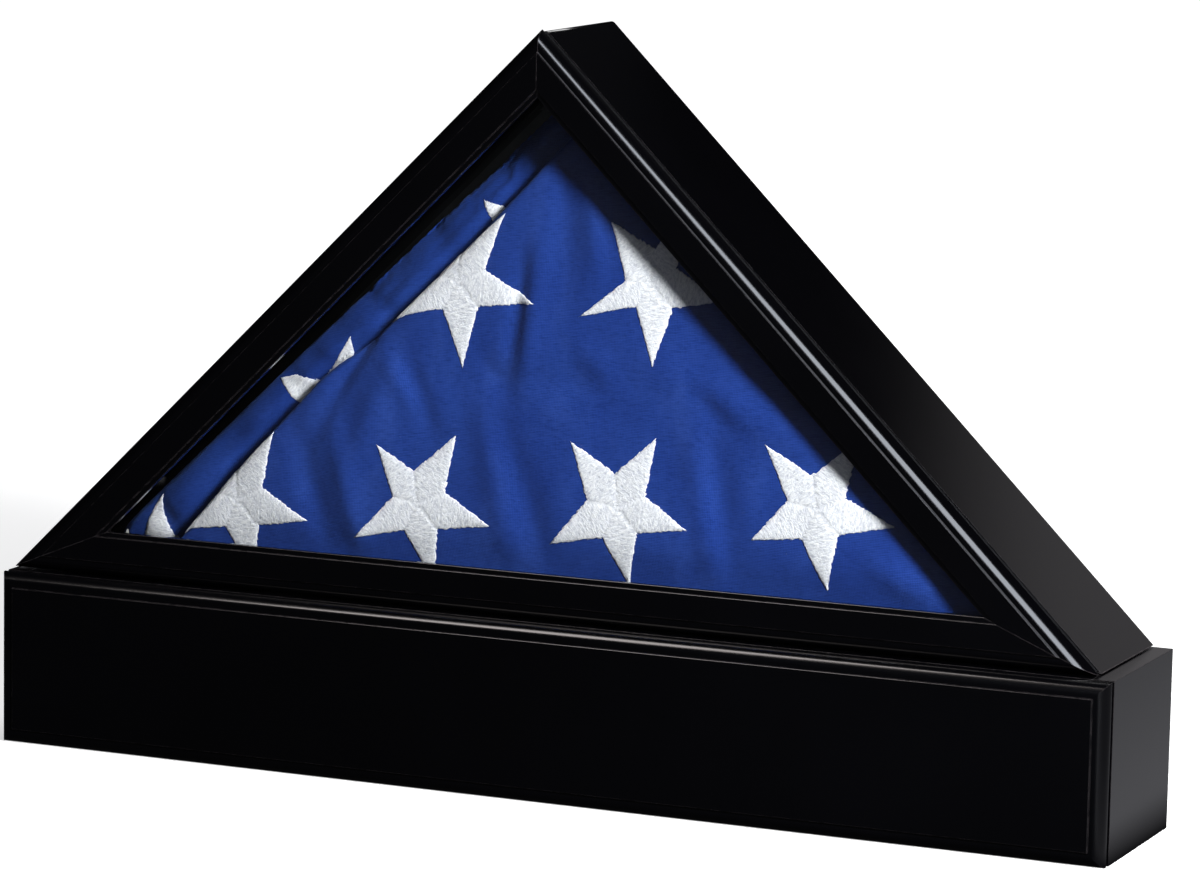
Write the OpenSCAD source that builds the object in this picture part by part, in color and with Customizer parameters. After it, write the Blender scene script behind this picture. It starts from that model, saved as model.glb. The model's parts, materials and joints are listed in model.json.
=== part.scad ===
// Triangular display case for a folded flag, standing on a hollow plinth.
// +X is to the right of the window, +Y is to the back and +Z is up.
// The origin is the middle of the plinth's flat underside. Sizes are in millimetres.

/* [Plinth] */
// Width of the plinth
ped_w = 660; // [600:1:760]
// Depth of the plinth from front to back
ped_d = 112; // [106:1:140]
// Height of the plinth
ped_h = 98.6; // [80:0.1:140]
// Thickness of the plinth's end, top and back boards
ped_board_t = 12; // [9:0.5:14]
// Thickness of the cover that closes the plinth from below
ped_cover_t = 6; // [4:0.5:9]

/* [Case] */
// Width of the case across its bottom corners
case_w = 649; // [560:1:680]
// Height of the case from its bottom face to its peak
case_h = 321.5; // [280:0.5:340]
// Depth of the case from front to back
case_d = 100; // [96:1:110]
// Distance that the case stands to the side of the plinth's middle
case_shift = -5.5; // [-8:0.5:8]
// Thickness of the three case boards
board_t = 12; // [10:0.5:13]
// Radius of the outer corner at the peak
peak_r = 3; // [1:0.5:5]
// Thickness of the felt pads under the case
pad_t = 0.8; // [0.5:0.1:2]

/* [Moulding] */
// Thickness of the moulded front, on the window frame and on the plinth
mould_t = 11; // [10.5:0.5:13]
// Width of the window frame's moulding
mould_w = 25.8; // [23:0.2:32]
// Distance from the outer edge to the step beside the bead
step_in = 8.4; // [7.5:0.1:10]
// Height of that step
step_drop = 1.2; // [0.6:0.1:1.6]
// Radius of the quarter-round bead
bead_r = 6.4; // [5:0.1:6.6]
// Depth of the groove between the moulded front and the boards
quirk_d = 1.2; // [0.5:0.1:2]
// Width of the lip along the sight edge
lip_w = 2.9; // [2:0.1:4]
// Height of the step down to that lip
lip_drop = 1.2; // [0.6:0.1:2]
// Radius of the eased edges on the moulding
ease_r = 0.45; // [0.3:0.05:0.6]

/* [Glass] */
// Thickness of the glass pane
glass_t = 3; // [2:0.5:3]
// Width of the rabbet that the glass lies in
rabbet_w = 8; // [6:0.5:9]
// Width of the strips that hold the glass
strip_w = 6; // [4:0.5:6]

/* [Flag] */
// Distance from the outer slopes of the case to the folded flag
flag_inset = 26; // [22:0.5:40]
// Distance from the glass to the flag
flag_gap = 7.2; // [5:0.1:9]
// Thickness of the folded flag
flag_t = 62; // [50:1:62]

/* [Rear door] */
// Thickness of the door panel
door_t = 6; // [5:0.5:7]
// Gap all round the door
door_gap = 1.3; // [1.3:0.1:2]
// Thickness of the felt lining inside the door
lining_t = 1; // [0.5:0.1:1.5]
// Distance of each hinge from the middle
hinge_x = 180; // [120:5:210]
// Length of each hinge
hinge_w = 40; // [36:1:60]
// Radius of the hinge pins
pin_r = 1.2; // [1:0.05:1.4]
// Radius of the round knob
knob_r = 8; // [6:0.5:11]

/* [Hidden] */

$fn = 48;

// Sides of the triangle, going round from the bottom left corner
BOTTOM = 0;
RIGHT = 1;
LEFT = 2;

// Extra length that lets a cut run clear of the face it opens
over = 1;
// Clearance between parts that move past each other
clear = 0.3;

y_back = ped_d / 2;
y_front = -ped_d / 2;
case_y = y_back - case_d;
case_z = ped_h + pad_t;
case_half = case_w / 2;
slope_len = norm([case_half, case_h]);

// Depths inside the case, measured back from its front face
strip_t = 3.2;
glass_v = mould_t - glass_t - strip_t;
flag_v = glass_v + glass_t + flag_gap;
door_v = case_d - door_t;
stop_v = door_v - clear;
stop_t = 6.5;
stop_w = 6;
block_t = 12;
glass_clear = 0.8;
lining_margin = board_t + stop_w + 3;

// Blocks that fill the two sharp bottom corners beside the door
corner_block_t = 22;
corner_block_w = 30;

// Heights inside the case, measured up from its bottom face
inner_peak_z = case_h - board_t * slope_len / case_half;
block_h = 34;
block_z = inner_peak_z - block_h;
magnet_z = inner_peak_z - 20;
knob_z = case_h - 78;

// Hinges
knuckle_r = 2.5;
leaf_t = 1.2;
leaf_h = 10.5;
axis_y = y_back + knuckle_r + clear;
axis_z = case_z + board_t + door_gap / 2;
knuckle_len = hinge_w / 3;
knuckle_gap = 0.2;
pin_clear = 0.05;
hinge_screw_x = hinge_w * 0.32;
hinge_screw_z = 6.6;

// Screws
screw_r = 1.2;
screw_head_r = 2.5;
screw_head_t = 0.9;
screw_len = 9;
door_screw_len = 6;
strike_screw_len = 6;
cover_screw_len = 18;
knob_screw_r = 1.6;
knob_screw_head_r = 3.2;
knob_screw_grip = 7;

magnet_r = 5;
magnet_t = 5;
strike_r = 6;
strike_t = 1;

glue_block = 20;
pad_r = 7;
pad_in = 13;
pad_x = case_half - 78;

// Corners of the case's triangle, moved in from its slopes and from its floor: left, right, peak
function inset(gap, floor_gap) =
    let (peak = case_h - gap * slope_len / case_half,
         low = is_undef(floor_gap) ? gap : floor_gap,
         half = (peak - low) * case_half / case_h)
    [[-half, low], [half, low], [0, peak]];

// Half the width of the space between the two corner blocks
corner_x = inset(board_t)[1][0] - corner_block_w;

// Flat piece between two insets along one side, mitred at both ends
module ring_side(side, outer, inner) {
    next = (side + 1) % 3;
    polygon([inset(outer)[side], inset(outer)[next], inset(inner)[next], inset(inner)[side]]);
}

// Stands a flat shape up inside the case, from one depth to another
module slab(front, back) {
    translate([case_shift, case_y + back, case_z])
        rotate([90, 0, 0])
            linear_extrude(back - front) children();
}

// Everything in the case's plane that lies below a height
module below(height) {
    translate([-case_w, -case_h]) square([2 * case_w, case_h + height]);
}

// Everything in the case's plane between the corner blocks, less a gap at each of them
module between_blocks(gap) {
    translate([gap - corner_x, 0]) square([2 * (corner_x - gap), case_h]);
}

// Outline that rounds the outer corner at the peak
module rounded_peak() {
    corner = slope_len / case_half * peak_r;
    below(case_h - corner + peak_r * case_half / slope_len);
    translate([0, case_h - corner]) circle(peak_r);
}

// Section of the bead along a moulded edge: x from the outer edge, y from the front face
module bead_edge() {
    intersection() {
        translate([bead_r, bead_r + step_drop]) circle(bead_r, $fn = 96);
        translate([0, step_drop]) square([bead_r, bead_r]);
    }
    translate([bead_r, step_drop]) square([step_in - bead_r, mould_t - step_drop]);
    translate([0, bead_r + step_drop]) square([bead_r, mould_t - bead_r - step_drop]);
}

// Groove between the bead and the boards behind it
module quirk() {
    translate([-over, step_drop + bead_r])
        square([quirk_d + over, mould_t - step_drop - bead_r + over]);
}

// Eases the outer corners of a section
module eased() {
    offset(r = ease_r, $fn = 16) offset(delta = -ease_r) children();
}

// Section of the window frame: bead, flat band, lip and the rabbet for the glass
module frame_section() {
    eased() difference() {
        union() {
            bead_edge();
            translate([step_in, 0]) square([mould_w - step_in, mould_t]);
        }
        quirk();
        translate([mould_w - lip_w, -over]) square([lip_w + over, lip_drop + over]);
        translate([mould_w - rabbet_w, glass_v]) square([rabbet_w + over, mould_t]);
    }
}

// Section of the plinth's front board across one direction, beaded on both edges
module board_section(width) {
    eased() difference() {
        union() {
            bead_edge();
            translate([width, 0]) mirror([1, 0]) bead_edge();
            translate([step_in, 0]) square([width - 2 * step_in, mould_t]);
        }
        quirk();
        translate([width, 0]) mirror([1, 0]) quirk();
    }
}

// One mitred side of the window frame
module frame_side(side) {
    start = inset(0)[side];
    end = inset(0)[(side + 1) % 3];
    length = norm(end - start);
    turn = atan2(end[1] - start[1], end[0] - start[0]);
    color("#101013") intersection() {
        translate([case_shift + start[0], case_y, case_z + start[1]])
            rotate([0, -turn, 0])
                translate([length, 0, 0])
                    rotate([0, -90, 0])
                        linear_extrude(length) frame_section();
        slab(-over, mould_t + over) ring_side(side, -over, mould_w + over);
    }
}

// One strip that holds the glass in its rabbet
module strip_side(side) {
    inner = mould_w - rabbet_w + strip_w;
    color("#141416")
        slab(glass_v + glass_t, mould_t) ring_side(side, mould_w - rabbet_w, inner);
}

// One strip that the closed door rests against
module stop_side(side) {
    color("#141416") slab(stop_v - stop_t, stop_v) intersection() {
        ring_side(side, board_t, board_t + stop_w);
        below(block_z);
        between_blocks(0);
    }
}

// Flat-headed screw along +Z with the top of its head at the origin
module screw(length, radius = screw_r, head = screw_head_r) {
    translate([0, 0, -screw_head_t]) cylinder(h = screw_head_t, r = head);
    translate([0, 0, -length]) cylinder(h = length - screw_head_t / 2, r = radius);
}

// Screw that enters from the back face of the case or door
module back_screw(length) {
    rotate([-90, 0, 0]) screw(length);
}

// Places its children on the plinth's corner blocks, seen from below
module at_cover_screws() {
    block_mid_x = ped_w / 2 - ped_board_t - glue_block / 2;
    block_front = y_front + mould_t + glue_block / 2;
    block_back = y_back - ped_board_t - glue_block / 2;
    for (x = [-block_mid_x, 0, block_mid_x], y = [block_front, block_back])
        translate([x, y, 0]) children();
}

// Places its children on the screws of both hinges, on one leaf
module at_hinge_screws(direction) {
    for (x = [-hinge_x, hinge_x], dx = [-hinge_screw_x, hinge_screw_x])
        translate([case_shift + x + dx, y_back + leaf_t, axis_z + direction * hinge_screw_z])
            children();
}

// Cylinder along X on the hinge axis
module on_axis(x, length, radius) {
    translate([case_shift + x - length / 2, axis_y, axis_z])
        rotate([0, 90, 0]) cylinder(h = length, r = radius);
}

// Upright hinge leaf on the back face, above or below the axis
module leaf(x, direction) {
    low = direction > 0 ? axis_z : axis_z - leaf_h;
    translate([case_shift + x - hinge_w / 2, y_back, low])
        cube([hinge_w, leaf_t, leaf_h]);
}

// Hinge half with the two outer knuckles, on the case
module hinge_fixed(x) {
    reach = knuckle_len + knuckle_gap;
    color("#b08d4a") difference() {
        union() {
            difference() {
                leaf(x, -1);
                on_axis(x, reach, knuckle_r + clear);
            }
            for (side = [-1, 1])
                on_axis(x + side * (hinge_w - knuckle_len) / 2, knuckle_len, knuckle_r);
        }
        on_axis(x, hinge_w + over, pin_r);
        at_hinge_screws(-1) back_screw(screw_len);
    }
}

// Hinge half with the middle knuckle, on the door
module hinge_door(x) {
    length = knuckle_len - knuckle_gap;
    color("#b08d4a") difference() {
        union() {
            difference() {
                leaf(x, 1);
                for (side = [-1, 1])
                    on_axis(x + side * (length / 2 + knuckle_len), 2 * knuckle_len,
                            knuckle_r + clear);
            }
            on_axis(x, length, knuckle_r);
        }
        on_axis(x, hinge_w, pin_r + pin_clear);
        at_hinge_screws(1) back_screw(screw_len);
    }
}

// Pin that runs through the knuckles of one hinge
module hinge_pin(x) {
    color("#8c7038") on_axis(x, hinge_w, pin_r);
}

// Plinth

module ped_front() {
    color("#101013") intersection() {
        translate([ped_w / 2, y_front, 0])
            rotate([0, -90, 0])
                linear_extrude(ped_w) board_section(ped_h);
        translate([-ped_w / 2, y_front, 0])
            linear_extrude(ped_h) board_section(ped_w);
    }
}

module ped_top() {
    color("#101013")
        translate([-ped_w / 2 + ped_board_t, y_front + mould_t, ped_h - ped_board_t])
            cube([ped_w - 2 * ped_board_t, ped_d - mould_t - ped_board_t, ped_board_t]);
}

module ped_back() {
    color("#101013")
        translate([-ped_w / 2 + ped_board_t, y_back - ped_board_t, 0])
            cube([ped_w - 2 * ped_board_t, ped_board_t, ped_h]);
}

module ped_end(side) {
    color("#101013")
        translate([side * (ped_w - ped_board_t) / 2 - ped_board_t / 2, y_front + mould_t, 0])
            cube([ped_board_t, ped_d - mould_t, ped_h]);
}

module ped_cover() {
    color("#15151a") difference() {
        translate([-ped_w / 2 + ped_board_t, y_front + mould_t, 0])
            cube([ped_w - 2 * ped_board_t, ped_d - mould_t - ped_board_t, ped_cover_t]);
        at_cover_screws() mirror([0, 0, 1]) screw(cover_screw_len);
    }
}

module ped_glue_blocks() {
    height = ped_h - ped_board_t - ped_cover_t;
    color("#c9a678") difference() {
        at_cover_screws()
            translate([-glue_block / 2, -glue_block / 2, ped_cover_t])
                cube([glue_block, glue_block, height]);
        at_cover_screws() mirror([0, 0, 1]) screw(cover_screw_len);
    }
}

module ped_cover_screws() {
    color("#a8a8ac") at_cover_screws() mirror([0, 0, 1]) screw(cover_screw_len);
}

// Case

module case_bottom() {
    color("#101013") difference() {
        slab(mould_t, case_d) ring_side(BOTTOM, 0, board_t);
        at_hinge_screws(-1) back_screw(screw_len);
    }
}

module case_slope(side) {
    color("#101013") slab(mould_t, case_d) intersection() {
        ring_side(side, 0, board_t);
        rounded_peak();
    }
}

module case_pads() {
    for (x = [-pad_x, pad_x], v = [mould_t + pad_in, case_d - pad_in])
        color("#1c1c20")
            translate([case_shift + x, case_y + v, ped_h]) cylinder(h = pad_t, r = pad_r);
}

module glass() {
    color("#b8c8c4", 0.35)
        slab(glass_v, glass_v + glass_t) polygon(inset(mould_w - rabbet_w + glass_clear));
}

module peak_block() {
    color("#141416") difference() {
        slab(stop_v - block_t, stop_v) difference() {
            polygon(inset(board_t));
            below(block_z);
        }
        catch_magnet();
    }
}

// Triangular block in one sharp bottom corner: side is -1 on the left and 1 on the right
module corner_block(side) {
    color("#101013")
        slab(case_d - corner_block_t, case_d) intersection() {
            polygon(inset(board_t));
            translate([side * (corner_x + case_half) - case_half, 0])
                square([2 * case_half, case_h]);
        }
}

module catch_magnet() {
    color("#b9bcc0")
        translate([case_shift, case_y + stop_v - magnet_t, case_z + magnet_z])
            rotate([-90, 0, 0]) cylinder(h = magnet_t, r = magnet_r);
}

module flag() {
    color("#1c2f5c")
        slab(flag_v, flag_v + flag_t) polygon(inset(flag_inset, board_t + clear));
}

module hinge_fixed_screws() {
    color("#b08d4a") at_hinge_screws(-1) back_screw(screw_len);
}

// Rear door

module door_panel() {
    color("#101013") difference() {
        slab(door_v, case_d) intersection() {
            polygon(inset(board_t + door_gap));
            between_blocks(door_gap);
        }
        at_hinge_screws(1) back_screw(door_screw_len);
        strike_plate();
        strike_screw();
        knob_screw();
    }
}

module door_lining() {
    color("#18181b") slab(door_v - lining_t, door_v) intersection() {
        polygon(inset(lining_margin));
        below(block_z - clear);
        between_blocks(stop_w);
    }
}

module hinge_door_screws() {
    color("#b08d4a") at_hinge_screws(1) back_screw(door_screw_len);
}

module strike_plate() {
    color("#b9bcc0") difference() {
        translate([case_shift, case_y + door_v, case_z + magnet_z])
            rotate([-90, 0, 0]) cylinder(h = strike_t, r = strike_r);
        strike_screw();
    }
}

module strike_screw() {
    color("#8e9196")
        translate([case_shift, case_y + door_v, case_z + magnet_z])
            rotate([90, 0, 0]) screw(strike_screw_len);
}

module knob() {
    neck_r = knob_r * 0.45;
    base_r = knob_r * 0.75;
    base_t = 1.5;
    neck_h = 9;
    ball_half = 4;
    color("#b08d4a") difference() {
        translate([case_shift, y_back, case_z + knob_z])
            rotate([-90, 0, 0]) {
                cylinder(h = base_t, r = base_r);
                cylinder(h = neck_h, r = neck_r);
                translate([0, 0, neck_h + 1]) rotate_extrude() intersection() {
                    scale([knob_r / ball_half, 1]) circle(ball_half);
                    translate([0, -ball_half]) square([knob_r, 2 * ball_half]);
                }
            }
        knob_screw();
    }
}

module knob_screw() {
    color("#8e9196")
        translate([case_shift, case_y + door_v, case_z + knob_z])
            rotate([90, 0, 0]) screw(door_t + knob_screw_grip, knob_screw_r, knob_screw_head_r);
}

ped_front();
ped_top();
ped_back();
ped_end(-1);  // ped_end_left
ped_end(1);  // ped_end_right
ped_cover();
ped_glue_blocks();
ped_cover_screws();
case_bottom();
case_slope(LEFT);  // case_left
case_slope(RIGHT);  // case_right
case_pads();
frame_side(BOTTOM);  // frame_bottom
frame_side(RIGHT);  // frame_right
frame_side(LEFT);  // frame_left
glass();
strip_side(BOTTOM);  // strip_bottom
strip_side(RIGHT);  // strip_right
strip_side(LEFT);  // strip_left
stop_side(RIGHT);  // stop_right
stop_side(LEFT);  // stop_left
peak_block();
corner_block(-1);  // corner_block_left
corner_block(1);  // corner_block_right
catch_magnet();
flag();
hinge_fixed(-hinge_x);  // hinge_fixed_left
hinge_fixed(hinge_x);  // hinge_fixed_right
hinge_pin(-hinge_x);  // hinge_pin_left
hinge_pin(hinge_x);  // hinge_pin_right
hinge_fixed_screws();
door_panel();
door_lining();
hinge_door(-hinge_x);  // hinge_door_left
hinge_door(hinge_x);  // hinge_door_right
hinge_door_screws();
strike_plate();
strike_screw();
knob();
knob_screw();
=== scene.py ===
"""Looks of the folded flag display case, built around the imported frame.

Metres throughout. +X is to the right of the window as seen from the front, +Y to the back, +Z up.
"""

import json
import math
import random

import bmesh
import bpy
from mathutils import Matrix, Vector, noise
from mathutils.bvhtree import BVHTree


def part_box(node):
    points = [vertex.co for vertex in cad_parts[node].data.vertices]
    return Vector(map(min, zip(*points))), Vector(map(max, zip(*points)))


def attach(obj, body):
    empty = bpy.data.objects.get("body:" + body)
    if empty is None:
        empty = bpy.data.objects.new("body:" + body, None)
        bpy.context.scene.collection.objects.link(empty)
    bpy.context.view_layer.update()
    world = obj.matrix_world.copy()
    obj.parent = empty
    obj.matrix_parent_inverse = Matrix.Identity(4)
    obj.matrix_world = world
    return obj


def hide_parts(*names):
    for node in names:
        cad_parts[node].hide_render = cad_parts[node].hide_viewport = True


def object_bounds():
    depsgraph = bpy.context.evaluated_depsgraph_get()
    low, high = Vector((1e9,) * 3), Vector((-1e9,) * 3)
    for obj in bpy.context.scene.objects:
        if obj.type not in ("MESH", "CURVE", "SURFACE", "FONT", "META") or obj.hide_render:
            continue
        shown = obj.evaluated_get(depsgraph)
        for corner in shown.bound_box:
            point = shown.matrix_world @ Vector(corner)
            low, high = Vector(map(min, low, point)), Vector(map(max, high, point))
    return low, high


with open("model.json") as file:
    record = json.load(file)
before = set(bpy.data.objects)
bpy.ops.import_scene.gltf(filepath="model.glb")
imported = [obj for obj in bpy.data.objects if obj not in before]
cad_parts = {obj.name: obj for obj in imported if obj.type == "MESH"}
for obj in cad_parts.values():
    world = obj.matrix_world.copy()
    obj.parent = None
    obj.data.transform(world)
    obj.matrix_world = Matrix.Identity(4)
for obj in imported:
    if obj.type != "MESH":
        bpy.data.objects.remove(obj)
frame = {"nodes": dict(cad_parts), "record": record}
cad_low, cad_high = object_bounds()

MM = 0.001
NODES = frame["nodes"]
scene = bpy.context.scene


# ---------------------------------------------------------------- camera

CAMERA_TURN = math.radians(23.56)  # to the right of straight ahead
CAMERA_TILT = math.radians(8.87)  # looking down
CAMERA_ROLL = math.radians(1.06)
CAMERA_FAR = 2.754
CAMERA_LENS = 154.1
CAMERA_AIM = Vector((0.0410, cad_low.y, 0.2030))


def make_camera():
    """The photograph's viewing angle, on the plane of the plinth's front."""
    look = Vector((-math.sin(CAMERA_TURN) * math.cos(CAMERA_TILT),
                   math.cos(CAMERA_TURN) * math.cos(CAMERA_TILT),
                   -math.sin(CAMERA_TILT)))
    level = Vector((math.cos(CAMERA_TURN), math.sin(CAMERA_TURN), 0))
    upward = level.cross(look)
    right = level * math.cos(CAMERA_ROLL) + upward * math.sin(CAMERA_ROLL)
    up = upward * math.cos(CAMERA_ROLL) - level * math.sin(CAMERA_ROLL)
    camera = bpy.data.objects.new("camera", bpy.data.cameras.new("camera"))
    camera.data.lens = CAMERA_LENS
    camera.data.clip_end = 60
    place = Matrix((right, up, -look)).transposed().to_4x4()
    place.translation = CAMERA_AIM - look * CAMERA_FAR
    camera.matrix_world = place
    scene.collection.objects.link(camera)
    scene.camera = camera


# ---------------------------------------------------------------- material helper


class Look:
    """One material's node tree, with short calls to add nodes."""

    def __init__(self, name):
        self.material = bpy.data.materials.new(name)
        self.material.use_nodes = True
        self.tree = self.material.node_tree
        self.tree.nodes.clear()
        self.place = self.add("TexCoord").outputs["Object"]

    def add(self, kind, sockets=None, **settings):
        """Adds a node. A socket is given a number, a colour, or another node's output."""
        node = self.tree.nodes.new("ShaderNode" + kind)
        for name, value in settings.items():
            setattr(node, name, value)
        for name, value in (sockets or {}).items():
            if isinstance(value, bpy.types.NodeSocket):
                self.tree.links.new(value, node.inputs[name])
            else:
                node.inputs[name].default_value = value
        return node

    def stretched(self, scale, place=None):
        """The place on the object, scaled along each axis."""
        return self.add("Mapping", {"Vector": place or self.place, "Scale": scale}).outputs[0]

    def noise(self, scale, detail=3.0, rough=0.55, place=None, warp=0.0):
        values = {"Vector": place or self.place, "Scale": scale, "Detail": detail,
                  "Roughness": rough, "Distortion": warp}
        return self.add("TexNoise", values).outputs["Fac"]

    def spread(self, value, low, high, to_low=0.0, to_high=1.0):
        """value, with low..high moved to to_low..to_high and held there."""
        values = {"Value": value, "From Min": low, "From Max": high, "To Min": to_low, "To Max": to_high}
        return self.add("MapRange", values, clamp=True).outputs[0]

    def maths(self, operation, first, second=0.0):
        node = self.add("Math", {0: first, 1: second}, operation=operation)
        return node.outputs[0]

    def mix(self, share, first, second):
        node = self.add("Mix", data_type="RGBA")
        for index, value in ((0, share), (6, first), (7, second)):
            if isinstance(value, bpy.types.NodeSocket):
                self.tree.links.new(value, node.inputs[index])
            else:
                node.inputs[index].default_value = value
        return node.outputs[2]

    def bump(self, height, distance, strength=1.0, under=None):
        values = {"Height": height, "Distance": distance, "Strength": strength}
        if under is not None:
            values["Normal"] = under
        return self.add("Bump", values).outputs[0]

    def finish(self, shader):
        out = self.add("OutputMaterial", {"Surface": shader})
        out.is_active_output = True
        return self.material

    def surface(self, sockets):
        return self.finish(self.add("BsdfPrincipled", sockets).outputs[0])


def grey(level, tint=0.0):
    """A colour of that level, with a touch of blue for a positive tint."""
    return (level, level, level * (1 + tint), 1)


# ---------------------------------------------------------------- materials

WEAR_EDGE = 0.5 * MM  # how far in from an edge the lacquer is rubbed and carries its painted edge highlight
METAL_EDGE = 0.3 * MM  # the same for metal


def edge_mask(look, radius):
    """1 along the edges of the piece and 0 on its flat faces."""
    rounded = look.add("Bevel", {"Radius": radius}, samples=4).outputs[0]
    flat = look.add("NewGeometry").outputs["Normal"]
    turn = look.add("VectorMath", {0: rounded, 1: flat}, operation="DOT_PRODUCT").outputs["Value"]
    return look.spread(turn, 0.999, 0.93)


def lacquer_look():
    """Black satin-gloss lacquer over fine-grained wood, with dust, paler along the edges: partly rubbed
    wear, partly a painted highlight on the arrises.
    """
    look = Look("black_lacquer")
    cloudy = look.noise(7.0, 3)
    pores = look.noise(520.0, 2, 0.7)
    peel = look.noise(900.0, 1)
    patchy = look.spread(look.noise(160.0, 4), 0.30, 0.55)
    rubbed_edge_and_painted_highlight = look.maths("MULTIPLY", edge_mask(look, WEAR_EDGE), patchy)
    dust_cells = look.add("TexVoronoi", {"Vector": look.place, "Scale": 95.0}, feature="F1")
    dust_dots = look.spread(dust_cells.outputs["Distance"], 0.035, 0.02)
    dust_few = look.spread(dust_cells.outputs["Color"], 0.90, 0.93)
    dust = look.maths("MULTIPLY", dust_dots, dust_few)
    base = look.mix(cloudy, grey(0.0003, 0.5), grey(0.0009, 0.6))
    base = look.mix(look.spread(pores, 0.55, 0.75, 0, 0.35), base, grey(0.0002))
    # paler edges: rubbed wear, and a painted highlight along the arrises
    base = look.mix(look.maths("MULTIPLY", rubbed_edge_and_painted_highlight, 0.8), base, (0.026, 0.022, 0.024, 1))
    base = look.mix(look.maths("MULTIPLY", dust, 0.8), base, grey(0.22))
    rough = look.spread(cloudy, 0.3, 0.7, 0.14, 0.18)
    rough = look.maths("ADD", rough, look.maths("MULTIPLY", rubbed_edge_and_painted_highlight, 0.15))
    normal = look.bump(pores, 0.01 * MM, 0.3)
    normal = look.bump(peel, 0.006 * MM, 0.4, normal)
    return look.surface({
        "Base Color": base, "Roughness": rough, "Normal": normal,
        "Specular IOR Level": 0.28, "Coat Weight": 0.55, "Coat Roughness": 0.165, "Coat IOR": 1.5,
    })


def flat_paint_look():
    """Matt black paint brushed on wood, for the pieces that hardly show."""
    look = Look("black_flat")
    strokes = look.noise(160.0, 4, 0.6, look.stretched((0.15, 1, 1)))
    blotch = look.noise(18.0, 3)
    base = look.mix(blotch, grey(0.009, 0.1), grey(0.02, 0.05))
    base = look.mix(look.maths("MULTIPLY", edge_mask(look, WEAR_EDGE), 0.35), base, grey(0.06))
    return look.surface({
        "Base Color": base, "Roughness": look.spread(strokes, 0.3, 0.7, 0.6, 0.8),
        "Normal": look.bump(strokes, 0.05 * MM, 0.7), "Specular IOR Level": 0.3,
    })


def bare_wood_look():
    """Unfinished softwood, with rings and fine grain along X."""
    look = Look("bare_wood")
    along = look.stretched((0.08, 1, 1))
    rings = look.noise(130.0, 3, 0.5, along, 1.2)
    fibre = look.noise(1500.0, 2, 0.6, along)
    base = look.mix(look.spread(rings, 0.35, 0.65), (0.62, 0.43, 0.24, 1), (0.42, 0.25, 0.11, 1))
    base = look.mix(look.spread(fibre, 0.4, 0.7, 0, 0.4), base, (0.30, 0.18, 0.09, 1))
    return look.surface({
        "Base Color": base, "Roughness": look.spread(fibre, 0.3, 0.7, 0.6, 0.8),
        "Normal": look.bump(fibre, 0.08 * MM, 0.6), "Specular IOR Level": 0.3,
    })


def felt_look():
    """Black felt: matted fibres, lint and a soft sheen."""
    look = Look("black_felt")
    fibres = look.noise(1400.0, 4, 0.75, None, 1.5)
    matting = look.noise(90.0, 3)
    lint = look.spread(look.noise(700.0, 2, 0.5, look.stretched((1, 1, 3)), 3.0), 0.70, 0.78)
    base = look.mix(matting, grey(0.010, 0.1), grey(0.026, 0.05))
    base = look.mix(look.maths("MULTIPLY", lint, 0.5), base, grey(0.16))
    normal = look.bump(fibres, 0.35 * MM, 0.9)
    return look.surface({
        "Base Color": base, "Roughness": look.spread(fibres, 0.3, 0.7, 0.85, 1.0), "Normal": normal,
        "Sheen Weight": 0.35, "Sheen Roughness": 0.5, "Specular IOR Level": 0.15,
    })


def metal_look(name, light, dark, roughness):
    """Machined metal with fine tool marks, tarnish and rubbed edges."""
    look = Look(name)
    marks = look.noise(1800.0, 2, 0.6)
    tarnish = look.noise(140.0, 4, 0.6)
    base = look.mix(look.spread(tarnish, 0.4, 0.7), light, dark)
    base = look.mix(look.maths("MULTIPLY", edge_mask(look, METAL_EDGE), 0.5), base, light)
    rough = look.spread(tarnish, 0.3, 0.7, roughness, roughness + 0.16)
    return look.surface({
        "Base Color": base, "Metallic": 1.0, "Roughness": rough,
        "Normal": look.bump(marks, 0.01 * MM, 0.6),
    })


GLASS_FACING = 0.03  # the mirror's share straight on
GLASS_GRAZING = 0.72  # and how much it grows towards a grazing angle


def glass_look():
    """Clear thin glass that lamps shine through, with a mirror's share that grows with the angle.
    The share comes from the facing and not from an index, so the pane's inner faces don't trap light."""
    look = Look("glass")
    smudge = look.noise(22.0, 3, 0.6, look.stretched((1, 1, 1.6)), 0.6)
    clear = look.add("BsdfTransparent", {"Color": (0.985, 0.992, 0.992, 1)})
    rough = look.spread(smudge, 0.45, 0.75, 0.0, 0.09)
    mirror = look.add("BsdfAnisotropic", {"Color": (1, 1, 1, 1), "Roughness": rough})
    glance = look.add("LayerWeight", {"Blend": 0.5}).outputs["Facing"]
    grazing = look.maths("MULTIPLY", look.maths("POWER", glance, 5.0), GLASS_GRAZING)
    share = look.maths("ADD", grazing, GLASS_FACING)
    both = look.add("MixShader", {0: share, 1: clear.outputs[0], 2: mirror.outputs[0]})
    return look.finish(both.outputs[0])


NAVY = (0.0085, 0.030, 0.180, 1)
NAVY_PALE = (0.0135, 0.043, 0.225, 1)
NAVY_DEEP = (0.003, 0.012, 0.085, 1)
NAVY_RUBBED = (0.026, 0.066, 0.290, 1)
LINT_BLUE = (0.20, 0.26, 0.42, 1)
THREAD = 0.9 * MM  # between threads of the cotton


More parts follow.
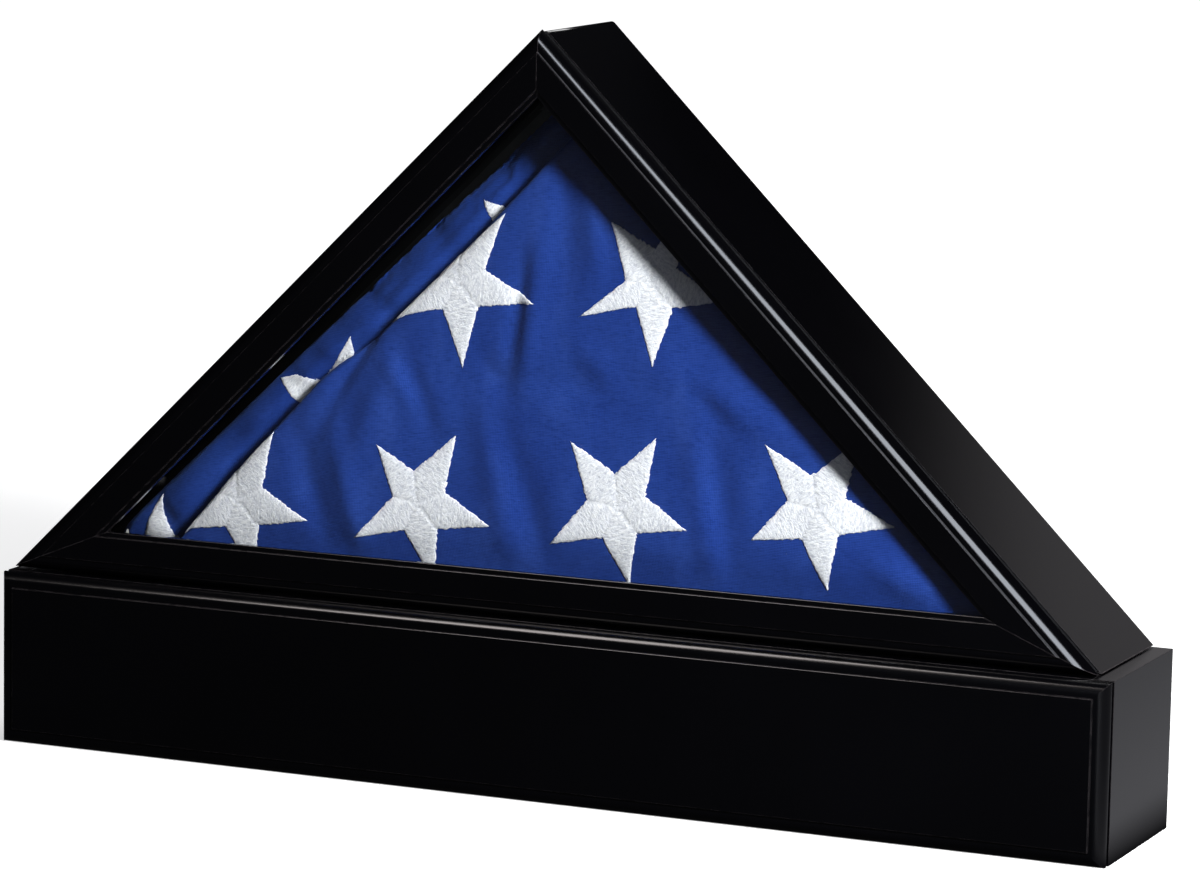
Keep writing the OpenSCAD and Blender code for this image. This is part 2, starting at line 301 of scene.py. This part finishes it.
def bunting_look():
    """Navy cotton bunting: warp and weft, slubs along the rows, uneven dye and a little lint."""
    look = Look("flag_cloth")
    bands = math.tau / 20 / THREAD  # the scale at which a wave texture repeats with each thread
    threads = {"Vector": look.place, "Scale": bands, "Distortion": 1.4,
               "Detail": 2.0, "Detail Scale": 0.6}
    warp = look.add("TexWave", threads, bands_direction="X").outputs["Fac"]
    weft = look.add("TexWave", threads, bands_direction="Z").outputs["Fac"]
    weave = look.maths("ADD", look.maths("MULTIPLY", warp, 0.4), look.maths("MULTIPLY", weft, 0.6))
    slub = look.noise(900.0, 3, 0.6, look.stretched((0.22, 1, 1)))
    slub_up = look.noise(900.0, 3, 0.6, look.stretched((1, 1, 0.18)))
    dye = look.noise(15.0, 4, 0.6)
    rubbed = look.noise(42.0, 4, 0.65, look.stretched((1, 1, 0.4)), 0.8)
    base = look.mix(look.spread(dye, 0.32, 0.68), NAVY, NAVY_PALE)
    base = look.mix(look.spread(rubbed, 0.50, 0.72, 0, 0.45), base, NAVY_RUBBED)
    base = look.mix(look.spread(slub, 0.46, 0.70, 0, 0.42), base, NAVY_DEEP)
    base = look.mix(look.spread(slub_up, 0.50, 0.72, 0, 0.4), base, NAVY_PALE)
    base = look.mix(look.spread(weave, 0.25, 0.6, 0.45, 0.0), base, NAVY_DEEP)
    lint = look.spread(look.noise(420.0, 2, 0.5, look.stretched((1, 1, 2.2)), 2.5), 0.75, 0.79)
    base = look.mix(look.maths("MULTIPLY", lint, 0.35), base, LINT_BLUE)
    normal = look.bump(look.noise(60.0, 4, 0.6), 0.8 * MM, 0.6)
    normal = look.bump(slub, 0.10 * MM, 0.6, normal)
    normal = look.bump(weave, 0.12 * MM, 0.8, normal)
    rough = look.spread(slub, 0.3, 0.7, 0.78, 0.95)
    return look.surface({
        "Base Color": base, "Roughness": rough, "Normal": normal, "Specular IOR Level": 0.15,
        "Sheen Weight": 0.12, "Sheen Roughness": 0.45, "Sheen Tint": (0.25, 0.4, 0.9, 1),
    })


def embroidery_look():
    """White satin stitch. The map called stitches runs along each arm in X and across it in Y,
    in metres."""
    look = Look("star_thread")
    lie = look.add("UVMap", uv_map="stitches").outputs[0]
    runs = look.noise(1.0, 3, 0.65, look.stretched((1000, 300, 1), lie), 0.6)
    tufts = look.noise(1.0, 3, 0.65, look.stretched((420, 360, 1), lie), 0.8)
    soft = look.noise(1.0, 2, 0.5, look.stretched((60, 60, 1), lie))
    base = look.mix(look.spread(runs, 0.34, 0.58), (0.44, 0.455, 0.52, 1), (0.73, 0.735, 0.75, 1))
    base = look.mix(look.spread(tufts, 0.28, 0.48, 0.35, 0.0), base, (0.40, 0.42, 0.49, 1))
    base = look.mix(look.spread(soft, 0.35, 0.65, 0.12, 0.0), base, (0.55, 0.56, 0.62, 1))
    normal = look.bump(tufts, 0.8 * MM, 0.7)
    normal = look.bump(runs, 0.5 * MM, 0.9, normal)
    return look.surface({
        "Base Color": base, "Roughness": look.spread(runs, 0.3, 0.7, 0.7, 0.9), "Normal": normal,
        "Specular IOR Level": 0.25, "Sheen Weight": 0.3, "Sheen Roughness": 0.4,
    })


# ---------------------------------------------------------------- the flag

FLAG_LOW, FLAG_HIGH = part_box("flag")
FLAG_X = (FLAG_LOW.x + FLAG_HIGH.x) / 2
FLAG_HALF = (FLAG_HIGH.x - FLAG_LOW.x) / 2
FLAG_TALL = FLAG_HIGH.z - FLAG_LOW.z
LAYER = 12 * MM  # how far the last fold stands in front of the one behind it
PUFF_SMALLER = 1.2 * MM  # the cloth starts this much inside its place, because it swells
BOARD_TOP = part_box("case_bottom")[1].z
CLOTH_CLEAR = 0.2 * MM  # between the cloth and the board it rests on
STITCH_CLEAR = 0.1 * MM  # between a star's stitches and that board


def on_flag(x, z, depth=0.0):
    """A place on the flag in mm: x from its middle, z from its lower edge, depth from its front."""
    return Vector((FLAG_X + x * MM, FLAG_LOW.y + depth * MM, FLAG_LOW.z + z * MM))


def above_board(place, clear):
    """The place, raised where it needs to be to lie that far above the case's bottom board."""
    return Vector((place.x, place.y, max(place.z, BOARD_TOP + clear)))


HALF = FLAG_HALF / MM
TALL = FLAG_TALL / MM
LEAN_LOW = -3.5  # how far back the flag's lower edge lies, in mm
LEAN_RISE = 0.0575  # and how much further for each mm up
BUNDLE = [(-HALF - 8, 0), (HALF + 4, 0), (2, TALL - 2)]  # it bulges towards the case's boards

# The edge of the last fold, from where it meets the right slope down to the flag's lower edge
FOLD_EDGE = [
    (21, 264), (-55.3, 181.6), (-108.0, 129.9), (-132.5, 113.0),
    (-174.2, 68.9), (-224.4, 10.1), (-233, 0),
]
FLAP = [FOLD_EDGE[-1], (HALF + 16, 0)] + FOLD_EDGE[:-1]


def inward(outline, gap):
    """The outline of a closed polygon, counter-clockwise, moved inward by gap."""
    count = len(outline)
    lines = []
    for i in range(count):
        a, b = Vector(outline[i]), Vector(outline[(i + 1) % count])
        side = (b - a).normalized()
        normal = Vector((-side.y, side.x))
        lines.append((a + normal * gap, side))
    corners = []
    for i in range(count):
        (p, u), (q, w) = lines[i - 1], lines[i]
        turn = u.x * w.y - u.y * w.x
        along = ((q.x - p.x) * w.y - (q.y - p.y) * w.x) / turn
        corners.append(p + u * along)
    return corners


def pad(name, outline, front, back, rounding, gap, voxel):
    """A closed pad over an outline in mm, its edges rounded and its skin in even squares."""
    mesh = bpy.data.meshes.new(name)
    build = bmesh.new()
    corners = inward(outline, gap)
    face = build.faces.new([build.verts.new(on_flag(p.x, p.y, front)) for p in corners])
    solid = bmesh.ops.extrude_face_region(build, geom=[face])
    for vert in solid["geom"]:
        if isinstance(vert, bmesh.types.BMVert):
            vert.co.y = FLAG_LOW.y + back * MM
    bmesh.ops.recalc_face_normals(build, faces=build.faces)
    build.to_mesh(mesh)
    build.free()
    piece = bpy.data.objects.new(name, mesh)
    scene.collection.objects.link(piece)
    bevel = piece.modifiers.new("rounding", "BEVEL")
    bevel.width = rounding * MM
    bevel.segments = 6
    bevel.limit_method = "NONE"
    remesh = piece.modifiers.new("skin", "REMESH")
    remesh.mode = "VOXEL"
    remesh.voxel_size = voxel * MM
    apply_modifiers(piece)
    return piece


def apply_modifiers(piece):
    """Bakes a piece's modifiers into its mesh."""
    graph = bpy.context.evaluated_depsgraph_get()
    mesh = bpy.data.meshes.new_from_object(piece.evaluated_get(graph))
    piece.modifiers.clear()
    piece.data = mesh


SWELL_FRAMES = 18
SWELL_PRESSURE = 1.2
SWELL_CAP = 2.6 * MM  # the furthest that a point may move
SWELL_SLACK = 0.02  # spare cloth, as a share of its length


def swell(piece):
    """Cloth simulation of a pad: it swells and buckles, and no point moves further than SWELL_CAP."""
    rest = [v.co.copy() for v in piece.data.vertices]
    cloth = piece.modifiers.new("cloth", "CLOTH")
    settings = cloth.settings
    settings.quality = 4
    settings.mass = 0.25
    settings.tension_stiffness = 12
    settings.compression_stiffness = 12
    settings.shear_stiffness = 4
    settings.bending_stiffness = 0.25
    settings.air_damping = 4
    settings.use_pressure = True
    settings.uniform_pressure_force = SWELL_PRESSURE
    settings.shrink_min = -SWELL_SLACK
    settings.effector_weights.gravity = 0
    cloth.collision_settings.use_collision = False
    for number in range(1, SWELL_FRAMES + 1):
        scene.frame_set(number)
    apply_modifiers(piece)
    for vert, start in zip(piece.data.vertices, rest):
        move = vert.co - start
        if move.length > SWELL_CAP:
            move *= SWELL_CAP / move.length
        vert.co = start + move
    scene.frame_set(1)


def wrinkle(place, lines):
    """How far wrinkles move a place on the flag to the back. A line is its two ends, its width and
    its depth, in mm."""
    total = 0.0
    for (x0, z0), (x1, z1), width, depth in lines:
        a, b = Vector((x0, z0)), Vector((x1, z1))
        run = b - a
        share = max(0.0, min(1.0, (place - a).dot(run) / run.length_squared))
        off = (place - a - run * share).length / width
        fade = math.sin(math.pi * (0.12 + 0.76 * share))
        total += depth * fade * math.exp(-off * off)
    return total


def press_wrinkles(piece, lines, ripple, seed, whole):
    """Moves the front of a pad by its wrinkles and soft ripples, in mm. Then the whole pad leans, or
    only its front, which has the crevice beside the last fold too."""
    drift = Vector((seed * 3.7, seed * 1.3, 0))
    for vert in piece.data.vertices:
        x = (vert.co.x - FLAG_X) / MM
        z = (vert.co.z - FLAG_LOW.z) / MM
        facing = max(0.0, -vert.normal.y)
        wave = noise.noise(Vector((x / 46, z / 70, seed)) + drift)
        wave += 0.5 * noise.noise(Vector((x / 19, z / 33, seed + 7)) + drift)
        depth = wrinkle(Vector((x, z)), lines) + ripple * wave
        if not whole:
            depth += crevice(Vector((x, z)))
        lean = (LEAN_LOW + LEAN_RISE * z) * (1 if whole else facing)
        vert.co.y += (depth * facing + lean) * MM


def subdivide(piece):
    """One smooth subdivision, applied."""
    piece.modifiers.new("finer", "SUBSURF").levels = 1
    apply_modifiers(piece)


def shade_smooth(piece):
    """Smooth shading on every face of a piece."""
    for face in piece.data.polygons:
        face.use_smooth = True


# Wrinkles: two ends, how wide and how deep, in mm. A depth below 0 is a ridge.
FLAP_WRINKLES = [
    ((-104, 134), (-127, 101), 2.2, 5.0),
    ((-118, 118), (-140, 74), 6, 3.4),
    ((-116, 60), (-92, 118), 9, -3.0),
    ((-84, 126), (-66, 84), 6, 2.6),
    ((-96, 124), (-76, 96), 5, -2.2),
    ((-150, 82), (-130, 20), 8, 3.2),
    ((-126, 84), (-106, 10), 7, -2.8),
    ((-14, 186), (-22, 120), 4.5, 4.0),
    ((-6, 192), (-12, 112), 6, -2.6),
    ((-40, 130), (-20, 108), 6, 2.2),
    ((6, 240), (12, 168), 8, 2.6),
    ((24, 222), (30, 176), 6, -2.2),
    ((-24, 96), (4, 16), 9, 2.8),
    ((-36, 100), (-16, 20), 8, -2.2),
    ((100, 100), (116, 10), 9, 2.6),
    ((90, 92), (104, 20), 7, -2.0),
    ((60, 132), (150, 96), 10, -2.2),
    ((-60, 112), (40, 120), 10, 2.2),
    ((20, 140), (44, 116), 8, -2.0),
    ((86, 120), (110, 100), 6, 2.4),
    ((190, 40), (230, 12), 9, -2.4),
    ((-320, 3), (340, 3), 19, 9),
]
STRIP_WRINKLES = [
    ((-214, 58), (-184, 74), 6, 3.6),
    ((-236, 34), (-200, 64), 8, -2.6),
    ((-126, 158), (-92, 142), 6, 3.4),
    ((-150, 130), (-128, 118), 7, -2.4),
    ((-90, 198), (-58, 180), 7, 3.0),
    ((-246, 30), (-228, 8), 6, 3.0),
    ((-196, 70), (-170, 100), 9, -2.6),
    ((-172, 112), (-150, 96), 6, 2.6),
    ((-40, 232), (-22, 214), 7, 2.6),
    ((-320, 3), (340, 3), 19, 9),
]
CREVICE = 2.5, 4.0, 10.0  # beside the last fold's edge: how far out, how wide and how deep, in mm


def crevice(place):
    """How far the crevice beside the last fold's edge lies behind the cloth, in mm."""
    out, width, depth = CREVICE
    nearest = 999.0
    for upper, lower in zip(FOLD_EDGE, FOLD_EDGE[1:]):
        a, b = Vector(upper), Vector(lower)
        run = b - a
        side = Vector((run.y, -run.x)).normalized() * out
        share = max(0.0, min(1.0, (place - a - side).dot(run) / run.length_squared))
        nearest = min(nearest, (place - a - side - run * share).length)
    return depth * math.exp(-(nearest / width) ** 2)


def make_cloth(name, outline, front, back, rounding, voxel, lines, ripple, seed, look):
    """One padded part of the flag: its skin, its simulation, its wrinkles. Gives the piece, its skin
    before it swelled, how far each point of that has moved, and its final skin."""
    piece = pad(name, outline, front, back, rounding, PUFF_SMALLER / MM, voxel)
    before = [v.co.copy() for v in piece.data.vertices]
    faces = [tuple(f.vertices) for f in piece.data.polygons]
    swell(piece)
    press_wrinkles(piece, lines, ripple, seed, name == "flag_last_fold")
    for vert in piece.data.vertices:
        vert.co = above_board(vert.co, CLOTH_CLEAR)
    moved = [v.co - b for v, b in zip(piece.data.vertices, before)]
    subdivide(piece)
    shade_smooth(piece)
    piece.data.materials.clear()
    piece.data.materials.append(look)
    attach(piece, "case")
    skin = BVHTree.FromPolygons(before, faces)
    final = BVHTree.FromPolygons([v.co for v in piece.data.vertices],
                                 [tuple(f.vertices) for f in piece.data.polygons])
    return {"piece": piece, "before": before, "faces": faces, "moved": moved,
            "skin": skin, "final": final}


# ---------------------------------------------------------------- the stars

STAR_R = 43.3  # from the middle to a tip, in mm
STAR_NOTCH = 0.42  # the notches' distance from the middle, as a share of that
STAR_UNEVEN = 0.04  # by how much of its distance a corner strays
STAR_TWIST = 2.2  # and by how many degrees it is turned
STAR_STEPS = 30  # rows of triangles from the middle to the rim
STITCH_UP = 1.0  # how far the stitches stand off the cloth, in mm
STITCH_DOWN = 0.5  # how far a star's underside lies in the cloth, in mm


def wrap_edge(x, z, edge, radius, wall):
    """A place on the flag's front, in mm, carried round the rounded edge from edge[0] to edge[1] and
    down behind it to the depth of wall. Gives x, z and the depth. The flag lies to the left of the
    way from edge[0] to edge[1]."""
    a, b = Vector(edge[0]), Vector(edge[1])
    side = (b - a).normalized()
    inner = Vector((-side.y, side.x))
    inside = (Vector((x, z)) - a).dot(inner)
    if inside >= radius:
        return x, z, 0.0
    turn = (radius - inside) / radius
    if turn <= math.pi / 2:
        new, depth = radius - radius * math.sin(turn), radius - radius * math.cos(turn)
    else:
        new, depth = 0.0, radius + (turn - math.pi / 2) * radius
        depth = min(depth, wall)
    shift = inner * (new - inside)
    return x + shift.x, z + shift.y, depth


def star_outline(turn, pulled, chance):
    """Ten corners round a star's middle, tips and notches in turn, in mm. pulled says how far the
    cloth has pulled some of them."""
    corners = []
    for index in range(10):
        angle = math.radians(turn + 54 + 36 * index)
        reach = STAR_R if index % 2 == 0 else STAR_R * STAR_NOTCH
        reach *= 1 + chance.uniform(-STAR_UNEVEN, STAR_UNEVEN)
        angle += math.radians(chance.uniform(-STAR_TWIST, STAR_TWIST))
        corners.append(Vector((reach * math.cos(angle), reach * math.sin(angle))))
    for index, shift in pulled.items():
        corners[index] = corners[index] + Vector(shift)
    return corners


def stitch_height(spot, notch, from_rim):
    """How high the stitches stand at a spot, from 0 to 1: less at the rim, and at the seam that runs
    from the middle to each notch."""
    off_seam = abs(spot.x * notch.y - spot.y * notch.x) / notch.length
    near_rim = from_rim * STAR_R * STAR_NOTCH * 0.55
    height = 0.30 + 0.70 * (1 - math.exp(-near_rim / 0.9))
    return height * (0.62 + 0.38 * (1 - math.exp(-off_seam / 1.3)))


def star_grid(corners, chance):
    """A flat star in mm, as ten finely divided triangles from its middle. Gives its points, the
    stitches' height at each, and its faces: three times a point's number and its stitch map place."""
    flat, heights, known, faces = [], [], {}, []

    def number_of(spot, height):
        key = (round(spot.x, 3), round(spot.y, 3))
        if key not in known:
            known[key] = len(flat)
            flat.append(spot)
            heights.append(height)
        return known[key]

    for sector in range(10):
        first, second = corners[sector], corners[(sector + 1) % 10]
        tip, notch = (first, second) if sector % 2 == 0 else (second, first)
        axis = tip.normalized()
        cross = Vector((-axis.y, axis.x))
        rows = []
        for i in range(STAR_STEPS + 1):
            row = []
            for j in range(i + 1):
                along = j / i if i else 0
                spot = (first * (1 - along) + second * along) * (i / STAR_STEPS)
                height = stitch_height(spot, notch, 1 - i / STAR_STEPS)
                if i == STAR_STEPS:
                    spot = spot * (1 + chance.uniform(-0.95, 0.65) / max(spot.length, 1))
                stitch = (spot.dot(axis) * MM + 0.1 * sector, spot.dot(cross) * MM)
                row.append((number_of(spot, height), stitch))
            rows.append(row)
        for i in range(STAR_STEPS):
            for j in range(i + 1):
                faces.append((rows[i][j], rows[i + 1][j], rows[i + 1][j + 1]))
                if j < i:
                    faces.append((rows[i][j], rows[i + 1][j + 1], rows[i][j + 1]))
    return flat, heights, faces


def on_cloth(cloth, start):
    """Where a place on the skin before it swelled has gone to, and which way is up there."""
    where, _, index, _ = cloth["skin"].find_nearest(start)
    ring = cloth["faces"][index]
    weights = [1 / ((cloth["before"][k] - where).length + 1e-5) for k in ring]
    move = sum((cloth["moved"][k] * w for k, w in zip(ring, weights)), Vector()) / sum(weights)
    place, up, _, _ = cloth["final"].find_nearest(start + move)
    return place, up


def make_star(name, cloth, x, z, turn, look, edge, radius, wall, front, pulled):
    """An embroidered star, laid on a cloth and where edge is given carried round it."""
    chance = random.Random(name)
    corners = star_outline(turn, pulled, chance)
    flat, heights, faces = star_grid(corners, chance)
    top, under = [], []
    for spot, height in zip(flat, heights):
        px, pz, depth = x + spot.x, z + spot.y, 0.0
        if edge:
            px, pz, depth = wrap_edge(px, pz, edge, radius, wall)
        place, up = on_cloth(cloth, on_flag(px, pz, front + depth))
        top.append(above_board(place + up * STITCH_UP * height * MM, STITCH_CLEAR))
        under.append(above_board(place - up * STITCH_DOWN * MM, STITCH_CLEAR))
    piece = bpy.data.objects.new(name, star_mesh(name, top, under, faces))
    scene.collection.objects.link(piece)
    piece.data.materials.append(look)
    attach(piece, "case")


def star_mesh(name, top, under, faces):
    """A closed mesh of a star's top, its underside and the rim between them, with its stitch map."""
    count = len(top)
    build = bmesh.new()
    verts = [build.verts.new(p) for p in top + under]
    stitches = build.loops.layers.uv.new("stitches")

    def add_face(numbers, places):
        face = build.faces.new([verts[k] for k in numbers])
        for loop, place in zip(face.loops, places):
            loop[stitches].uv = place

    for corners in faces:
        numbers = [number for number, _ in corners]
        places = [place for _, place in corners]
        if len(set(numbers)) == 3:
            add_face(numbers, places)
            add_face([k + count for k in reversed(numbers)], reversed(places))
    build.verts.index_update()
    rims = []
    for edge in build.edges:
        first, second = (vert.index for vert in edge.verts)
        if edge.is_boundary and first < count and second < count:
            loop = edge.link_loops[0]
            if first != loop.vert.index:
                first, second = second, first
            rims.append((first, second, loop[stitches].uv.copy()))
    for first, second, place in rims:
        add_face([second, first, first + count, second + count], [place] * 4)
    bmesh.ops.recalc_face_normals(build, faces=build.faces)
    for face in build.faces:
        face.smooth = True
    mesh = bpy.data.meshes.new(name)
    build.to_mesh(mesh)
    build.free()
    return mesh


FLAP_ROUND = LAYER / MM / 2
BUNDLE_ROUND = 15.0
FLAP_WALL = 99.0  # how far down behind the last fold's edge a star may go: all the way
BUNDLE_WALL = 30.0
UPPER_FOLD = (FOLD_EDGE[0], FOLD_EDGE[2])
LOWER_FOLD = (FOLD_EDGE[3], FOLD_EDGE[5])
LOWER_EDGE = ((-HALF, 0), (HALF, 0))

# Each star: its name, its middle in mm, its turn in degrees, the edge that it goes round, and how far
# the cloth has pulled some of its corners, in mm
FLAP_STARS = [
    ("star_upper_left", -52.3, 166.7, 6.4, UPPER_FOLD,
     {0: (3, 0), 4: (-3, -5), 6: (0, -4), 8: (4, -1)}),
    ("star_upper_right", 60.0, 173.4, 10.0, None,
     {1: (6, 0), 2: (8, 0), 3: (4, -2), 5: (1, 4), 6: (-5, -1)}),
    ("star_lower_1", -183.0, 37.6, 7.9, LOWER_FOLD, {}),
    ("star_lower_2", -72.0, 44.7, 8.6, None, {2: (6, 0), 3: (3, 0), 4: (-1, -3), 8: (2, 0)}),
    ("star_lower_3", 46.4, 52.5, 8.1, None, {2: (3, 1), 4: (-1, -3)}),
    ("star_lower_4", 160.7, 60.8, 9.6, None, {0: (2, -1), 6: (0, -1), 8: (1, 2)}),
]
BUNDLE_STARS = [
    ("star_behind_1", -15.0, 184.8, 15.7, None, {}),
    ("star_behind_2", -133.1, 88.2, 22.7, None, {}),
    ("star_behind_3", -241.6, -8.7, -36.0, LOWER_EDGE, {}),
    ("star_behind_4", -259.1, -29.9, -22.0, LOWER_EDGE, {}),
]


def make_flag():
    """The folded flag: the bundle, the last fold in front of it, and the stars on both."""
    cloth_look = bunting_look()
    thread_look = embroidery_look()
    thick = (FLAG_HIGH.y - FLAG_LOW.y) / MM
    bundle = make_cloth("flag_bundle", BUNDLE, LAYER / MM, thick, BUNDLE_ROUND, 4.0,
                        STRIP_WRINKLES, 1.8, 3, cloth_look)
    flap = make_cloth("flag_last_fold", FLAP, 0, LAYER / MM + 1, FLAP_ROUND - 0.5, 3.5,
                      FLAP_WRINKLES, 1.6, 8, cloth_look)
    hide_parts("flag")
    for name, x, z, turn, edge, pulled in FLAP_STARS:
        make_star(name, flap, x, z, turn, thread_look, edge, FLAP_ROUND, FLAP_WALL, 0.0, pulled)
    for name, x, z, turn, edge, pulled in BUNDLE_STARS:
        make_star(name, bundle, x, z, turn, thread_look, edge, BUNDLE_ROUND, BUNDLE_WALL, LAYER / MM,
                  pulled)


# ---------------------------------------------------------------- the frame's own pieces


def dress(names, look):
    """Gives CAD nodes a material."""
    for name in names:
        piece = NODES[name]
        piece.data.materials.clear()
        piece.data.materials.append(look)


BOARDS = [
    "ped_top", "ped_back", "ped_end_left", "ped_end_right", "case_bottom", "case_left", "case_right",
]
EASED = 0.45 * MM


def ease_edges():
    """Rounds the sharp edges of the boards a little, as sanding and lacquer do."""
    for name in BOARDS:
        piece = NODES[name]
        weld = piece.modifiers.new("weld", "WELD")
        weld.merge_threshold = 0.00001
        bevel = piece.modifiers.new("ease", "BEVEL")
        bevel.width = EASED
        bevel.segments = 2
        bevel.limit_method = "ANGLE"
        bevel.angle_limit = math.radians(40)
        bevel.harden_normals = True


def by_slot():
    """The names of the CAD nodes of each material slot."""
    groups = {}
    for part in frame["record"]["subparts"]:
        groups.setdefault(part["material_slot"], []).append(part["node"])
    return groups


def dress_frame():
    """Gives every CAD node its slot's material. The flag's node is replaced by its cloth parts in
    make_flag.
    """
    groups = by_slot()
    dress(groups["black_lacquer"], lacquer_look())
    dress(groups["black_flat"], flat_paint_look())
    dress(groups["bare_wood"], bare_wood_look())
    dress(groups["black_felt"], felt_look())
    dress(groups["glass"], glass_look())
    dress(groups["steel"], metal_look("steel", (0.62, 0.63, 0.64, 1), (0.42, 0.43, 0.45, 1), 0.28))
    dress(groups["brass"], metal_look("brass", (0.74, 0.55, 0.25, 1), (0.46, 0.31, 0.12, 1), 0.22))


# ---------------------------------------------------------------- studio


LIGHT_AIM = Vector((0, 0, 0.2))


def soft_light(name, power, size, azimuth, elevation, far, tint=(1, 1, 1)):
    """An area light seen from LIGHT_AIM at that azimuth (0 in front, 90 to the right) and elevation."""
    lamp = bpy.data.lights.new(name, "AREA")
    lamp.shape = "RECTANGLE"
    lamp.size, lamp.size_y = size
    lamp.energy = power
    lamp.color = tint
    a, e = math.radians(azimuth), math.radians(elevation)
    way = Vector((math.sin(a) * math.cos(e), -math.cos(a) * math.cos(e), math.sin(e)))
    light = bpy.data.objects.new(name, lamp)
    light.location = LIGHT_AIM + way * far
    light.rotation_mode = "QUATERNION"
    light.rotation_quaternion = way.to_track_quat("Z", "Y")
    light.visible_camera = False
    scene.collection.objects.link(light)
    return light


def flat_sheet(name, corners):
    """A four-cornered sheet for the stage."""
    mesh = bpy.data.meshes.new(name)
    mesh.from_pydata(corners, [], [(0, 1, 2, 3)])
    sheet = bpy.data.objects.new(name, mesh)
    scene.collection.objects.link(sheet)
    return sheet


FLOOR_SIZE = 30.0  # from its middle to each side


def make_floor():
    """A pale floor: white to the camera, dim as a source of light, and in the lacquer's reflection
    dark before the object and paler to its right and behind it."""
    size = FLOOR_SIZE
    floor = flat_sheet("floor", [(-size, -size, 0), (size, -size, 0), (size, size, 0), (-size, size, 0)])
    look = Look("floor")
    path = look.add("LightPath")
    mottled = look.noise(3.0, 3)
    lit = look.add("BsdfDiffuse", {"Color": look.mix(mottled, grey(0.80), grey(0.84))})
    away = look.add("VectorMath", {0: look.place}, operation="LENGTH").outputs["Value"]
    glow = look.add("Emission", {
        "Color": (1, 1, 1, 1), "Strength": look.spread(away, 0.6, 3.0, 0.55, 1.0),
    })
    seen = look.add("AddShader", {0: lit.outputs[0], 1: glow.outputs[0]})
    side = look.add("SeparateXYZ", {0: look.place}).outputs
    aside = look.maths("MAXIMUM", look.spread(side[0], 0.33, 0.36), look.spread(side[1], 0.10, 0.20))
    far_right = look.spread(side[0], 0.36, 0.60, 0.28, 0.12)
    pale = look.add("MapRange", {"Value": aside, "To Min": 0.015, "To Max": far_right}).outputs[0]
    mirrored = look.add("Emission", {"Color": (0.93, 0.93, 1.0, 1), "Strength": pale})
    bounce = look.add("Emission", {"Color": (1, 1, 1, 1), "Strength": 0.05})
    unseen = look.add("MixShader", {
        0: path.outputs["Is Glossy Ray"], 1: bounce.outputs[0], 2: mirrored.outputs[0],
    })
    both = look.add("MixShader", {
        0: path.outputs["Is Camera Ray"], 1: unseen.outputs[0], 2: seen.outputs[0],
    })
    floor.data.materials.append(look.finish(both.outputs[0]))


CARD = -0.6, 1.6, 0.75, 0.7  # its left and right ends, how far back it stands, and its height


def make_card():
    """A pale card low behind the object, which only the lacquer mirrors."""
    left, right, back, high = CARD
    card = flat_sheet("card", [(left, back, 0), (right, back, 0), (right, back, high), (left, back, high)])
    card.visible_camera = False
    card.visible_diffuse = False
    card.visible_shadow = False
    look = Look("card")
    height = look.add("SeparateXYZ", {0: look.place}).outputs[2]
    fade = look.spread(height, 0.50, 0.39, 0.0, 0.18)
    glow = look.add("Emission", {"Color": (1.0, 0.96, 1.0, 1), "Strength": fade})
    card.data.materials.append(look.finish(glow.outputs[0]))


def make_world():
    """White to the camera, dim as a source of light, and nearly black in reflections."""
    world = bpy.data.worlds.new("studio")
    world.use_nodes = True
    tree = world.node_tree
    tree.nodes.clear()
    path = tree.nodes.new("ShaderNodeLightPath").outputs

    def background(color, strength):
        node = tree.nodes.new("ShaderNodeBackground")
        node.inputs["Color"].default_value = color
        node.inputs["Strength"].default_value = strength
        return node.outputs[0]

    def choose(ray, otherwise, if_so):
        node = tree.nodes.new("ShaderNodeMixShader")
        for index, value in enumerate((path[ray], otherwise, if_so)):
            tree.links.new(value, node.inputs[index])
        return node.outputs[0]

    dim = background((0.85, 0.88, 1.0, 1), 0.075)
    dark = background((0.9, 0.92, 1.0, 1), 0.008)
    white = background((1, 1, 1, 1), 1.0)
    unseen = choose("Is Glossy Ray", dim, dark)
    out = tree.nodes.new("ShaderNodeOutputWorld")
    tree.links.new(choose("Is Camera Ray", unseen, white), out.inputs[0])
    scene.world = world


def make_studio():
    """The stage and its lights. The key lights the flag and isn't mirrored, and the lights on the
    right and left are only mirrored."""
    scene.view_settings.view_transform = "Standard"
    make_world()
    make_floor()
    make_card()
    key = soft_light("key", 70, (0.27, 0.27), 51, 26, 1.7)
    key.visible_glossy = False
    right = soft_light("right", 50, (1.1, 1.5), 20, 17, 2.0, tint=(0.86, 0.91, 1.0))
    right.visible_diffuse = False
    left = soft_light("left", 16, (0.5, 1.1), -33, 45, 2.6, tint=(1.0, 0.92, 0.90))
    left.visible_diffuse = False
    soft_light("behind", 30, (1.2, 1.2), 175, 60, 3.0)


make_camera()
make_studio()
dress_frame()
ease_edges()
make_flag()
